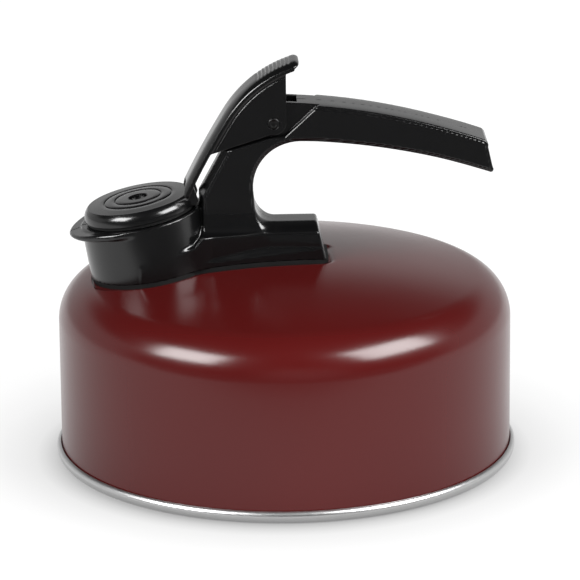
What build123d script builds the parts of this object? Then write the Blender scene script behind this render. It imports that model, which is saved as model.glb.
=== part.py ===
from build123d import *
from math import atan2, cos, pi, radians, sin, sqrt
import os

# A stovetop whistling kettle, in millimetres. +Z is up. The origin is the centre of the
# base, on the surface that the kettle stands on. The spout points along -X, the free end
# of the handle along +X, and the lid hinge runs along Y.

# Drum
BODY_RADIUS = 95.4          # outside of the wall
SHOULDER_RADIUS = 18.0      # bend between wall and crown
CROWN_RADIUS = 367.0        # the shallow dome on top
APEX_Z = 86.0               # top of the dome
SHELL_THICKNESS = 1.2
SEAT_DEPTH = 1.0            # pressed seat that the housing stands in
SEAT_MARGIN = 2.2           # seat edge to gasket edge

# Base
BASE_THICKNESS = 1.5
ROLL_RADIUS = 97.5          # widest part of the rolled rim
ROLL_TOP = 5.4
ROLL_LIP = 96.2             # top edge of the rolled rim
BASE_FLAT_RADIUS = 94.0
FLANGE_RADIUS = 96.5        # the shell's bottom flange, caught in the roll
FLANGE_BOTTOM = 1.8
FLANGE_TOP = 2.8
ROLL_MOUTH = BODY_RADIUS + 0.1

# Spout and lid share one axis, tipped towards the spout
LID_TILT = 10.4
LID_TOP = (-61.1, 0.0, 112.0)
RIM_DEPTH = 7.5             # lid top down to the collar rim
NECK_RADIUS = 20.4
NECK_BORE = 19.2
NECK_FLANGE_RADIUS = 24.6
NECK_FLANGE_DEPTH = 35.6    # lid top down to the underside of the neck flange
NECK_BEAD_RADIUS = 21.6
NECK_BEAD_HEIGHT = 1.2
COLLAR_TOP_RADIUS = 25.7
COLLAR_FOOT_RADIUS = 26.1
COLLAR_FOOT_DEPTH = 38.0
LIP_RADIUS = 29.0
LIP_OFFSET = 2.2            # lip circle ahead of the collar axis
LIP_HEIGHT = 2.9
LIP_DROOP = 8.0             # the lip's upper face falls away towards its tip

# Lid
LID_RADIUS = 23.7
LID_CROWN_RADIUS = 22.2
LID_DOME = 0.9              # fall of the lid's top from its centre to the shoulder
LID_SHOULDER = 4.0          # lid top down to where the skirt is straight
LID_HEIGHT = 6.1
LID_PLATE = 2.4
LID_SKIRT_BORE = 21.2
SEAL_BORE = 17.0
SEAL_RADIUS = 23.0
SEAL_LAND = 1.6             # wall that backs the seal on the inside
SEAL_BOTTOM = RIM_DEPTH - 0.25
SEAL_TOP = 4.0
SOCKET_BORE = 10.6
SOCKET_RADIUS = 12.6
SOCKET_DEPTH = 9.0
STEAM_HOLE = 4.0
GROOVE_RADII = (9.87, 14.45)
GROOVE_WIDTH = 0.9
GROOVE_DEPTH = 0.6

# Whistle: two pressed discs in a push-in cup
WHISTLE_RADIUS = 10.6
WHISTLE_SHEET = 0.6
WHISTLE_GAP = 2.4
WHISTLE_HOLE = 1.3
CUP_RADIUS = 10.6
CUP_DEPTH = 14.0

# Hinge
PIN_X, PIN_Z = -4.1, 145.0
PIN_RADIUS = 2.0
PIN_HEAD_RADIUS = 2.4
PIN_HEAD_FLAT = 1.9
PIN_RUNNING_GAP = 0.05
SPRING_WIRE = 0.6           # wire radius
SPRING_COIL = 3.3           # coil centre-line radius
SPRING_PITCH = 1.5
SPRING_TURNS = 5
SPRING_UPPER_LEG = 20.5     # stops just under the thumb pad
SPRING_LOWER_LEG = 5.4      # reaches the floor inside the housing

# Lever
LEVER_HALF = 10.2
SPINE_START = (-43.2, 110.2)
SPINE_HEADING = 65.3        # degrees above +X at the lid
SPINE_ARCS = ((334.0, radians(7.2)), (50.6, radians(40.8)))     # radius and turn
CHEEK_THICKNESS = 2.1
CHEEK_CORNER = 5.1          # rounded corner about the pin
CHEEK_REAR_X = 1.2
CHEEK_FOOT = (-30.9, 132.0)
CHEEK_SLOPE = 15.5          # degrees between the cheek's lower edge and the level
LEVER_CROWN = 1.8           # rise of the lever's back at mid-width
LEVER_PLATE = 2.0
GUSSET_INNER, GUSSET_OUTER = 6.6, 9.4
GUSSET_SIDE = [(-41.6, 113.6), (-38.8, 119.0), (-37.6, 117.6), (-35.9, 112.2), (-36.7, 109.6),
               (-41.0, 108.8)]
PAD_RIB_COUNT = 9
PAD_RIB_PITCH = 1.75
PAD_RIB_GAP = 0.7
PAD_RIB_DEPTH = 0.4
PAD_RIB_HALF = 7.6

# Housing: two half shells joined on the centre plane
HOUSING_HALF = 10.4
PANEL_RAISE = 0.4
PANEL_INSET = 1.1
HEAD_HALF = 7.7             # between the lever's cheeks
HOUSING_WALL = 2.6
SLOT_HALF = 5.0
SLOT_FRONT_X, SLOT_REAR_X = -18.0, 5.7
FOOT_HALF = 11.8
FOOT_TOP = 101.5
FOOT_CORNER = 7.5
FOOT_END = ((13.2, 104.0), (18.9, 80.0))    # the foot's sloping end face
LEDGE_INSET = 4.2           # upper ledge of the plinth, from the seat's edge
LEDGE_TAPER = 7.0
COLUMN_FRONT = -34.0
NOSE_HALF = 8.8
NOSE_BULGE = 2.2
GASKET_RISE = 1.0           # gasket top above the dome

# Fasteners
MOUNT_SCREW_RADIUS = 1.9
MOUNT_SCREW_HEAD = 3.6
MOUNT_SCREW_HEAD_HEIGHT = 2.2
MOUNT_SCREW_DEPTH = 11.0    # length above the dome
MOUNT_SCREWS = [(x, side * 4.8) for x in (-25.0, 7.0) for side in (-1, 1)]
BOSS_RADIUS = 3.4
PLATE_THICKNESS = 1.0
PLATE_LENGTH, PLATE_WIDTH, PLATE_CORNER, PLATE_X = 44.0, 21.0, 6.0, -9.0
WASHER_THICKNESS = 1.0
WASHER_RADIUS = 4.6
JOIN_SCREWS = [(73.0, 131.5), (30.0, 142.4), (-21.5, 121.0)]
JOIN_SCREW_RADIUS = 1.3
JOIN_HEAD_RADIUS = 2.6
JOIN_HEAD_HEIGHT = 1.8
JOIN_POCKET = 1.2           # head set below the housing's side
JOIN_SCREW_END = -6.6

TALL = 200.0
BASE_ALIGN = (Align.CENTER, Align.CENTER, Align.MIN)
tilt = radians(LID_TILT)
AXIS = Vector(-sin(tilt), 0, cos(tilt))
FORWARD = Vector(-cos(tilt), 0, -sin(tilt))
lid_plane = Plane(origin=LID_TOP, x_dir=FORWARD, z_dir=AXIS)


# ---------------------------------------------------------------- helpers

def side_face(*edges):
    """A face in the XZ plane from edges drawn as (x, z)."""
    return make_face(Plane.XZ * Curve(list(edges)))


def slab(face, y_low, y_high):
    """Extrude an XZ face between two Y planes."""
    return Pos(0, y_high, 0) * extrude(face, amount=y_high - y_low, dir=(0, -1, 0))


def both_sides(face, y_low, y_high):
    """The same extrusion on the near and the far side."""
    return slab(face, y_low, y_high) + slab(face, -y_high, -y_low)


def lid_turned(*points):
    """Revolve a section of (radius, height above the lid top) about the lid axis."""
    section = make_face(Plane.XZ * Polyline(*points, close=True))
    return lid_plane * revolve(section, Axis.Z)


def lid_cylinder(radius, low, high, ahead=0.0):
    """A cylinder on the lid axis, between two heights measured from the lid top."""
    tall = high - low
    return lid_plane * Pos(ahead, 0, low) * Cylinder(radius, tall, align=BASE_ALIGN)


def dome_solid(inset, floor):
    """The drum's outside, shrunk by inset, as a solid down to the floor."""
    wall = BODY_RADIUS - inset
    bend = SHOULDER_RADIUS - inset
    crown = CROWN_RADIUS - inset
    across = BODY_RADIUS - SHOULDER_RADIUS
    crown_z = APEX_Z - CROWN_RADIUS
    bend_z = crown_z + sqrt((CROWN_RADIUS - SHOULDER_RADIUS) ** 2 - across ** 2)
    lean = atan2(bend_z - crown_z, across)

    def on_crown(angle):
        return (crown * cos(angle), crown_z + crown * sin(angle))

    def on_bend(angle):
        return (across + bend * cos(angle), bend_z + bend * sin(angle))

    crown_arc = ThreePointArc(on_crown(pi / 2), on_crown((lean + pi / 2) / 2), on_crown(lean))
    bend_arc = ThreePointArc(on_bend(lean), on_bend(lean / 2), on_bend(0))
    rest = Polyline((wall, bend_z), (wall, floor), (0, floor), (0, APEX_Z - inset))
    return revolve(side_face(crown_arc, bend_arc, rest), Axis.Z)


def foot_outline(inset):
    """Plan outline of the housing's foot and skirt, as a face at z = 0."""
    half = [(-50.0, 24.3), (-36.0, 20.4), (-19.0, 18.7)]
    end = 20.6 - inset
    near = [(x, -(y - inset)) for x, y in half] + [(end, -(14.7 - inset))]
    far = [(x, -y) for x, y in reversed(near)]
    face = make_face(Polyline(*near, *far, close=True))
    corners = [v for v in face.vertices() if v.X > end - 0.1]
    return fillet(corners, 6.0 - inset / 2)


def seat_prism(inset):
    """Tall solid over the housing's footprint: foot, skirt and spout collar."""
    foot = Pos(0, 0, 60) * extrude(foot_outline(inset), amount=60)
    spout = lid_cylinder(27.9 - inset, -60, -12)
    return foot + spout


# ---------------------------------------------------------------- drum and base

def body_shell():
    outside = dome_solid(0, FLANGE_BOTTOM)
    outside -= seat_prism(0) - dome_solid(SEAT_DEPTH, FLANGE_BOTTOM)
    inside = dome_solid(SHELL_THICKNESS, FLANGE_BOTTOM)
    lowered = dome_solid(SHELL_THICKNESS + SEAT_DEPTH, FLANGE_BOTTOM)
    inside -= seat_prism(-SHELL_THICKNESS) - lowered
    flange = Pos(0, 0, FLANGE_BOTTOM) * Cylinder(
        FLANGE_RADIUS, FLANGE_TOP - FLANGE_BOTTOM, align=BASE_ALIGN)
    shell = outside + flange - inside
    shell -= lid_cylinder(NECK_RADIUS, -45, -15)
    for x, y in MOUNT_SCREWS:
        shell -= Pos(x, y, 60) * Cylinder(MOUNT_SCREW_RADIUS, 40, align=BASE_ALIGN)
    return shell


def base_pan():
    waist = (ROLL_RADIUS, ROLL_TOP / 2)
    under = ThreePointArc((BASE_FLAT_RADIUS, 0), (96.4, 0.75), waist)
    over = ThreePointArc(waist, (97.1, 4.5), (ROLL_LIP, ROLL_TOP))
    inner = Polyline((ROLL_LIP, ROLL_TOP), (ROLL_MOUTH, ROLL_TOP - 0.5), (ROLL_MOUTH, FLANGE_TOP),
                     (FLANGE_RADIUS, FLANGE_TOP), (FLANGE_RADIUS, BASE_THICKNESS),
                     (0, BASE_THICKNESS), (0, 0), (BASE_FLAT_RADIUS, 0))
    return revolve(side_face(under, over, inner), Axis.Z)


def base_seal():
    width = Circle(FLANGE_RADIUS) - Circle(BODY_RADIUS - SHELL_THICKNESS)
    return Pos(0, 0, BASE_THICKNESS) * extrude(width, amount=FLANGE_BOTTOM - BASE_THICKNESS)


# ---------------------------------------------------------------- spout neck

def neck_tube():
    top = -RIM_DEPTH
    under = -NECK_FLANGE_DEPTH
    return lid_turned(
        (NECK_BORE, under), (NECK_FLANGE_RADIUS, under), (NECK_FLANGE_RADIUS, under + 0.9),
        (NECK_RADIUS, under + 0.9), (NECK_RADIUS, top - NECK_BEAD_HEIGHT),
        (NECK_BEAD_RADIUS, top - NECK_BEAD_HEIGHT), (NECK_BEAD_RADIUS, top),
        (NECK_BORE, top))


def neck_gasket():
    ring = lid_cylinder(NECK_FLANGE_RADIUS, 0.9 - NECK_FLANGE_DEPTH, -28)
    ring -= lid_cylinder(NECK_RADIUS, -40, -20)
    inside = dome_solid(SHELL_THICKNESS + SEAT_DEPTH, FLANGE_BOTTOM)
    return ring & inside


# ---------------------------------------------------------------- housing

def handle_outline():
    """Side view of column, head and grip."""
    front = Polyline((-30.0, 78.0), (COLUMN_FRONT, 78.0), (COLUMN_FRONT, 114.0),
                     (-24.2, 132.0), (-20.5, 141.5))
    brow = ThreePointArc((-20.5, 141.5), (-14.2, 149.6), (-4.0, 153.0))
    top = ThreePointArc((-4.0, 153.0), (40.0, 148.8), (82.9, 136.9))
    end = Line((82.9, 136.9), (87.9, 121.9))
    belly = ThreePointArc((87.9, 121.9), (46.9, 132.5), (7.0, 137.1))
    hollow = ThreePointArc((7.0, 137.1), (-7.1, 131.6), (-12.9, 116.5))
    heel = Line((-12.9, 116.5), (-12.3, 109.0))
    instep = ThreePointArc((-12.3, 109.0), (-10.4, 103.9), (-5.0, FOOT_TOP))
    under = Polyline((-5.0, FOOT_TOP), (-5.0, 78.0), (-30.0, 78.0))
    return side_face(front, brow, top, end, belly, hollow, heel, instep, under)


def spine(offset):
    """The lever's back in side view, moved outwards by offset: two tangent arcs.
    Returns the edges and their end points, from the lid up to the thumb pad."""
    edges, points = [], []
    x, z, heading = *SPINE_START, radians(SPINE_HEADING)
    for radius, turn in SPINE_ARCS:
        centre = (x + radius * sin(heading), z - radius * cos(heading))
        reach = radius + offset

        def at(part, centre=centre, reach=reach, heading=heading, turn=turn):
            angle = heading + pi / 2 - part * turn
            return (centre[0] + reach * cos(angle), centre[1] + reach * sin(angle))

        edges.append(ThreePointArc(at(0), at(0.5), at(1)))
        points += [at(0), at(1)]
        heading -= turn
        x = centre[0] - radius * sin(heading)
        z = centre[1] + radius * cos(heading)
    return edges, points


def cheek_recess():
    """Side-view region kept clear for the lever's cheeks, with its diagonal rear step."""
    return make_face(Plane.XZ * Polyline(
        (-34.0, 130.6), (-5.2, 138.9), (0.6, 139.4), (14.6, 152.4), (14.6, 180),
        (-60, 180), (-60, 130.6), close=True))


def column_and_grip():
    outline = handle_outline()
    block = slab(outline, -HOUSING_HALF, HOUSING_HALF)
    rims = [e for e in block.edges() if abs(abs(e.center().Y) - HOUSING_HALF) < 0.01
            and e.center().Z > FOOT_TOP + 0.5]
    block = fillet(rims, 1.6)
    panel = offset(outline, amount=-PANEL_INSET, kind=Kind.INTERSECTION)
    raised = both_sides(panel, HOUSING_HALF - 1.0, HOUSING_HALF + PANEL_RAISE)
    column = block + raised
    for piece in column_nose():
        column += piece
    return column - both_sides(cheek_recess(), HEAD_HALF, TALL)


def slanted(plan, start, end):
    """Extrude a plan outline in a straight slant between two (x, z) places."""
    way = Vector(end[0] - start[0], 0, end[1] - start[1])
    return Pos(start[0], 0, start[1]) * extrude(plan, amount=way.length, dir=way.normalized())


def column_nose():
    """The rounded front face of the column, from the drum to the hinge head."""
    bow = ThreePointArc((0, -NOSE_HALF), (-NOSE_BULGE, 0), (0, NOSE_HALF))
    back = Polyline((0, NOSE_HALF), (4, NOSE_HALF), (4, -NOSE_HALF), (0, -NOSE_HALF))
    plan = make_face(Curve([bow, back]))
    front = ((COLUMN_FRONT, 78.0), (COLUMN_FRONT, 114.0), (-24.2, 132.0), (-20.5, 141.5))
    return [slanted(plan, low, high) for low, high in zip(front, front[1:])]


def below_slope(shape, x_low, z_low, x_high, z_high):
    """The part of a shape that lies under a plane rising from one (x, z) to another."""
    rise = (z_high - z_low) / (x_high - x_low)
    reach = 80.0
    under = Polyline((x_low - reach, z_low - reach * rise), (x_high + reach, z_high + reach * rise),
                     (x_high + reach, 0), (x_low - reach, 0), close=True)
    return shape & slab(side_face(under), -reach, reach)


def fairing():
    """The skirt that runs from the foot's sides out to the spout collar."""
    flare = ThreePointArc((-50.0, -23.4), (-37.5, -16.6), (-24.0, -12.6))
    side = Line((-24.0, -12.6), (20.0, -FOOT_HALF))
    near = Curve([flare, side])
    far = mirror(near, Plane.XZ)
    ends = (Line((20.0, -FOOT_HALF), (20.0, FOOT_HALF)), Line((-50.0, 23.4), (-50.0, -23.4)))
    skirt = Pos(0, 0, 70) * extrude(make_face(Curve([*near.edges(), *far.edges(), *ends])), amount=28)
    return below_slope(skirt, -50.0, 89.5, -34.0, 98.5)


def foot_block():
    """The arched foot behind the column and the stepped plinth around it."""
    arch = Rectangle(2 * FOOT_HALF, 60)
    arch = fillet(arch.vertices().group_by(Axis.Y)[-1], FOOT_CORNER)
    arch = Plane.YZ * Pos(0, FOOT_TOP - 30) * arch
    foot = Pos(-24, 0, 0) * extrude(arch, amount=45, dir=(1, 0, 0))
    foot += fairing()
    for inset, front_z, rear_z in ((SEAT_MARGIN, 87.6, 91.8), (LEDGE_INSET, 89.6, 94.2)):
        step = Pos(0, 0, 70) * extrude(foot_outline(inset), amount=30, taper=LEDGE_TAPER)
        foot += below_slope(step, -40.0, front_z, 13.0, rear_z)
    upper, lower = FOOT_END
    rake = side_face(Polyline(upper, lower, (lower[0], 60), (40, 60), (40, upper[1]), close=True))
    return foot - slab(rake, -40, 40)


def collar_and_lip():
    collar = lid_turned(
        (0, -RIM_DEPTH), (COLLAR_TOP_RADIUS, -RIM_DEPTH),
        (COLLAR_FOOT_RADIUS, -COLLAR_FOOT_DEPTH), (0, -COLLAR_FOOT_DEPTH))
    lip = lid_cylinder(LIP_RADIUS, -RIM_DEPTH - LIP_HEIGHT, -RIM_DEPTH, LIP_OFFSET)
    droop = lid_plane * Pos(20, 0, -RIM_DEPTH) * Rot(0, LIP_DROOP, 0) * Box(
        30, 80, 10, align=(Align.MIN, Align.CENTER, Align.MIN))
    behind = lid_plane * Pos(-40, 0, -20) * Box(40, 80, 30, align=BASE_ALIGN)
    return collar + (lip - droop - behind)


def housing_solid():
    """Both half shells as one, before the split."""
    solid = column_and_grip() + foot_block() + collar_and_lip()
    solid -= dome_solid(-GASKET_RISE, 0)
    hollow = offset(handle_outline(), amount=-HOUSING_WALL, kind=Kind.INTERSECTION)
    wide = slab(hollow, -(HOUSING_HALF - HOUSING_WALL), HOUSING_HALF - HOUSING_WALL)
    head_zone = Pos(-60, 0, 128) * Box(72, 60, 40, align=(Align.MIN, Align.CENTER, Align.MIN))
    wide = (wide - head_zone) + slab(hollow, -SLOT_HALF, SLOT_HALF)
    slot = Box(SLOT_REAR_X - SLOT_FRONT_X, 2 * SLOT_HALF, 30,
               align=(Align.MIN, Align.CENTER, Align.MIN))
    bosses = []
    for x, z in JOIN_SCREWS:
        bosses.append(Pos(x, 0, z) * Rot(90, 0, 0) * Cylinder(BOSS_RADIUS, 2 * HOUSING_HALF))
    for x, y in MOUNT_SCREWS:
        bosses.append(Pos(x, y, 70) * Cylinder(BOSS_RADIUS, 31, align=BASE_ALIGN))
    solid -= wide - Compound(bosses)
    solid -= Pos(SLOT_FRONT_X, 0, PIN_Z) * slot
    solid -= lid_cylinder(NECK_RADIUS, -45, 0)
    solid -= lid_cylinder(NECK_BEAD_RADIUS, -RIM_DEPTH - NECK_BEAD_HEIGHT, 0)
    bore = PIN_RADIUS + PIN_RUNNING_GAP
    solid -= Pos(PIN_X, 0, PIN_Z) * Rot(90, 0, 0) * Cylinder(bore, 4 * HEAD_HALF)
    for x, y in MOUNT_SCREWS:
        solid -= Pos(x, y, 70) * Cylinder(MOUNT_SCREW_RADIUS, 16 + MOUNT_SCREW_DEPTH,
                                          align=BASE_ALIGN)
    return solid - Compound(join_screw_list(pocket=True))


def join_screw_list(pocket=False):
    """The screws that pull the half shells together, driven from the far side."""
    face = HOUSING_HALF + PANEL_RAISE - JOIN_POCKET
    mouth = face + (5.0 if pocket else 0.0)
    screws = []
    for x, z in JOIN_SCREWS:
        shank = Cylinder(JOIN_SCREW_RADIUS, face - JOIN_SCREW_END, align=BASE_ALIGN)
        head = Cylinder(JOIN_HEAD_RADIUS, mouth - face + JOIN_HEAD_HEIGHT, align=BASE_ALIGN)
        screw = Pos(0, 0, JOIN_SCREW_END) * shank + Pos(0, 0, face - JOIN_HEAD_HEIGHT) * head
        if not pocket:
            screw -= Pos(0, 0, face - 1.0) * cross_recess(1.7, 0.6, 2.0)
        screws.append(Pos(x, 0, z) * Rot(-90, 0, 0) * screw)
    return screws


def cross_recess(reach, width, depth):
    """A cross-shaped driver recess, standing on z = 0."""
    bar = Box(2 * reach, width, depth, align=BASE_ALIGN)
    return bar + Rot(0, 0, 90) * bar


def half_shell(solid, side):
    """The part of the housing on one side of the centre plane (-1 near, +1 far)."""
    return solid & (Pos(0, side * TALL / 2, 0) * Box(2 * TALL, TALL, 2 * TALL))


def housing_gasket():
    pad = seat_prism(SEAT_MARGIN) & dome_solid(-GASKET_RISE, 0)
    pad -= dome_solid(SEAT_DEPTH, 0)
    pad -= lid_cylinder(NECK_RADIUS, -60, -12)
    for x, y in MOUNT_SCREWS:
        pad -= Pos(x, y, 60) * Cylinder(MOUNT_SCREW_RADIUS, 40, align=BASE_ALIGN)
    return pad


# ---------------------------------------------------------------- mounting hardware

def dome_height(x, y, inset):
    """Height of the crown, shrunk by inset, over a point in plan."""
    crown = CROWN_RADIUS - inset
    return APEX_Z - CROWN_RADIUS + sqrt(crown ** 2 - x ** 2 - y ** 2)


INNER_SKIN = SHELL_THICKNESS + SEAT_DEPTH
PLATE_UNDER = INNER_SKIN + PLATE_THICKNESS


def clamp_plate():
    outline = Pos(PLATE_X, 0, 70) * RectangleRounded(PLATE_LENGTH, PLATE_WIDTH, PLATE_CORNER)
    plate = extrude(outline, amount=30) & dome_solid(INNER_SKIN, 0)
    plate -= dome_solid(PLATE_UNDER, 0)
    plate -= lid_cylinder(NECK_FLANGE_RADIUS + 1, -60, -12)
    for x, y in MOUNT_SCREWS:
        plate -= Pos(x, y, 60) * Cylinder(MOUNT_SCREW_RADIUS, 40, align=BASE_ALIGN)
    return plate


def screw_head_z(x, y):
    return dome_height(x, y, PLATE_UNDER) - WASHER_THICKNESS


def sealing_washers():
    rings = []
    for x, y in MOUNT_SCREWS:
        ring = Cylinder(WASHER_RADIUS, 2.5, align=BASE_ALIGN)
        ring -= Cylinder(MOUNT_SCREW_RADIUS, 2.5, align=BASE_ALIGN)
        rings.append((Pos(x, y, screw_head_z(x, y)) * ring) & dome_solid(PLATE_UNDER, 0))
    return Compound(rings)


def mounting_screws():
    screws = []
    for x, y in MOUNT_SCREWS:
        seat = screw_head_z(x, y)
        tip = dome_height(x, y, 0) + MOUNT_SCREW_DEPTH
        head = Cylinder(MOUNT_SCREW_HEAD, MOUNT_SCREW_HEAD_HEIGHT, align=BASE_ALIGN)
        head = fillet(head.edges().group_by(Axis.Z)[0], 1.0)
        head -= cross_recess(2.2, 0.7, 1.2)
        shank = Cylinder(MOUNT_SCREW_RADIUS, tip - seat, align=BASE_ALIGN)
        shank = chamfer(shank.edges().group_by(Axis.Z)[-1], 0.5)
        screws.append(Pos(x, y, seat - MOUNT_SCREW_HEAD_HEIGHT) * head + Pos(x, y, seat) * shank)
    return Compound(screws)


# ---------------------------------------------------------------- lid lever

def lid_cap():
    """The lid: domed plate, skirt, seal land and whistle socket, in one moulding."""
    crown = ThreePointArc((STEAM_HOLE, 0), (15.0, -0.3), (LID_CROWN_RADIUS, -LID_DOME))
    shoulder = ThreePointArc((LID_CROWN_RADIUS, -LID_DOME), (23.3, -2.0),
                             (LID_RADIUS, -LID_SHOULDER))
    land = SEAL_BORE - SEAL_LAND
    under = Polyline((LID_RADIUS, -LID_SHOULDER), (LID_RADIUS, -LID_HEIGHT),
                     (LID_SKIRT_BORE, -LID_HEIGHT), (LID_SKIRT_BORE, -SEAL_TOP),
                     (SEAL_BORE, -SEAL_TOP), (SEAL_BORE, -LID_HEIGHT), (land, -LID_HEIGHT),
                     (land, -LID_PLATE), (SOCKET_RADIUS, -LID_PLATE),
                     (SOCKET_RADIUS, -SOCKET_DEPTH), (SOCKET_BORE, -SOCKET_DEPTH),
                     (SOCKET_BORE, -LID_PLATE), (STEAM_HOLE, -LID_PLATE), (STEAM_HOLE, 0))
    plate = lid_plane * revolve(side_face(crown, shoulder, under), Axis.Z)
    for radius in GROOVE_RADII:
        near, far = radius - GROOVE_WIDTH / 2, radius + GROOVE_WIDTH / 2
        floor = -GROOVE_DEPTH - LID_DOME * (radius / LID_CROWN_RADIUS) ** 2
        plate -= lid_turned((near, 0.1), (far, 0.1), (far, floor), (near, floor))
    return plate


def lever_section(rise, drop, half, crown=LEVER_CROWN):
    """Cross-section of the lever's back, as a face across the start of the spine."""
    def height(y):
        return crown * (1 - (y / LEVER_HALF) ** 2)
    upper = ThreePointArc((-half, height(half) + rise), (0, crown + rise),
                          (half, height(half) + rise))
    lower = ThreePointArc((half, height(half) - drop), (0, crown - drop),
                          (-half, height(half) - drop))
    ends = (Line((half, height(half) + rise), (half, height(half) - drop)),
            Line((-half, height(half) - drop), (-half, height(half) + rise)))
    return Curve([upper, lower, *ends])


def along_spine(section):
    """Sweep a lever cross-section along the spine."""
    edges, points = spine(0)
    path = Plane.XZ * Curve(edges)
    wire = Wire(path.edges())
    start = wire @ 0
    heading = wire % 0
    outward = Vector(-heading.Z, 0, heading.X)
    across = Plane(origin=start, x_dir=(0, 1, 0), z_dir=(outward.cross(Vector(0, 1, 0))) * -1)
    return sweep(make_face(across * section), path=wire)


def cheek_face():
    """Side view of a cheek's lower and rear edges: around the hinge pin and up."""
    slope = radians(CHEEK_SLOPE)
    lower = (PIN_X - CHEEK_CORNER * sin(slope), PIN_Z - CHEEK_CORNER * cos(slope))
    corner = ThreePointArc(lower, (PIN_X + CHEEK_CORNER * 0.67, PIN_Z - CHEEK_CORNER * 0.742),
                           (CHEEK_REAR_X, PIN_Z))
    rear = Line((CHEEK_REAR_X, PIN_Z), (CHEEK_REAR_X, 175))
    return lower, corner, rear


def lever_cheeks():
    """Two cheeks: the region under the spine, ahead of the rear edge, above the lower edge."""
    lower, corner, rear = cheek_face()
    roof = Polyline((CHEEK_REAR_X, 175), (-60, 175), (-60, CHEEK_FOOT[1]), CHEEK_FOOT, lower)
    region = side_face(corner, rear, roof)
    edges, points = spine(-0.8)
    start, tip = points[0], points[-1]
    below = Polyline(tip, (60, tip[1]), (60, start[1] - 20), (start[0], start[1] - 20), start)
    under_spine = side_face(*edges, below)
    cheek = region & under_spine
    return both_sides(cheek, LEVER_HALF - CHEEK_THICKNESS, LEVER_HALF)


def arm_gussets():
    """Two gussets that stiffen the arm where it meets the lid."""
    face = side_face(Polyline(*GUSSET_SIDE, close=True))
    return both_sides(face, GUSSET_INNER, GUSSET_OUTER) & above_lid(LID_HEIGHT)


def above_lid(depth):
    """Everything above a plane across the lid axis, this far below the lid top."""
    return lid_plane * Pos(0, 0, -depth) * Box(200, 200, 200, align=BASE_ALIGN)


def pad_grooves():
    """Cross grooves in the thumb pad, as a cutting solid."""
    edges, points = spine(0)
    wire = Wire((Plane.XZ * Curve(edges)).edges())
    skin = along_spine(lever_section(1.0, PAD_RIB_DEPTH, PAD_RIB_HALF))
    slabs = []
    for i in range(PAD_RIB_COUNT):
        back = 3.0 + i * PAD_RIB_PITCH
        place = wire.position_at(wire.length - back, position_mode=PositionMode.LENGTH)
        way = wire.tangent_at(wire.length - back, position_mode=PositionMode.LENGTH)
        cut = Plane(origin=place, x_dir=(0, 1, 0), z_dir=way)
        slabs.append(cut * Box(2 * PAD_RIB_HALF, 12, PAD_RIB_GAP))
    return skin & Compound(slabs)


def lid_lever():
    back = along_spine(lever_section(0, LEVER_PLATE, LEVER_HALF)) & above_lid(LID_HEIGHT)
    inside_lid = lid_cylinder(LID_SKIRT_BORE, -LID_HEIGHT, -LID_PLATE)
    lever = (back + arm_gussets() - inside_lid) + lever_cheeks() + lid_cap()
    lever -= pad_grooves()
    lever -= Pos(PIN_X, 0, PIN_Z) * Rot(90, 0, 0) * Cylinder(PIN_RADIUS, 4 * LEVER_HALF)
    lever -= pin_head()
    return lever


def pin_head():
    """The pin's near end: a low round head with one flat, filling the near cheek."""
    length = CHEEK_THICKNESS + 0.3
    head = Cylinder(PIN_HEAD_RADIUS, length, align=BASE_ALIGN)
    head -= Pos(0, PIN_HEAD_FLAT + 5, 0) * Box(10, 10, 10)
    return Pos(PIN_X, -LEVER_HALF + CHEEK_THICKNESS, PIN_Z) * Rot(90, 0, 0) * head


def hinge_pin():
    reach = LEVER_HALF
    shaft = Pos(PIN_X, 0, PIN_Z) * Rot(90, 0, 0) * Cylinder(PIN_RADIUS, 2 * reach)
    return shaft + pin_head()


def torsion_spring():
    """Closing spring: a coil on the hinge pin with one leg under the pad and one on the
    housing's floor."""
    length = SPRING_PITCH * SPRING_TURNS
    coil = Helix(SPRING_PITCH, length, SPRING_COIL)
    wire = Plane(origin=coil @ 0, z_dir=coil % 0) * Circle(SPRING_WIRE)
    wound = Pos(PIN_X, -length / 2, PIN_Z) * Rot(-90, 0, 0) * sweep(wire, path=coil)
    leg_x = PIN_X + SPRING_COIL
    upper = Pos(leg_x, -length / 2, PIN_Z) * Cylinder(
        SPRING_WIRE, SPRING_UPPER_LEG, align=BASE_ALIGN)
    lower = Pos(leg_x, length / 2, PIN_Z - SPRING_LOWER_LEG) * Cylinder(
        SPRING_WIRE, SPRING_LOWER_LEG, align=BASE_ALIGN)
    return wound + upper + lower


# ---------------------------------------------------------------- whistle and seal

def lid_seal():
    return lid_turned((SEAL_BORE, -SEAL_TOP), (LID_SKIRT_BORE, -SEAL_TOP),
                      (LID_SKIRT_BORE, -LID_HEIGHT), (SEAL_RADIUS, -LID_HEIGHT),
                      (SEAL_RADIUS, -SEAL_BOTTOM), (SEAL_BORE, -SEAL_BOTTOM))


def whistle_disc(top):
    """A pressed disc with a steam hole, its upper face at the given height."""
    return lid_turned((WHISTLE_HOLE, top), (WHISTLE_RADIUS, top),
                      (WHISTLE_RADIUS, top - WHISTLE_SHEET), (WHISTLE_HOLE, top - WHISTLE_SHEET))


def whistle_spacer():
    top = -LID_PLATE - WHISTLE_SHEET
    return lid_turned((WHISTLE_RADIUS - 1.4, top), (WHISTLE_RADIUS, top),
                      (WHISTLE_RADIUS, top - WHISTLE_GAP), (WHISTLE_RADIUS - 1.4, top - WHISTLE_GAP))


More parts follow.
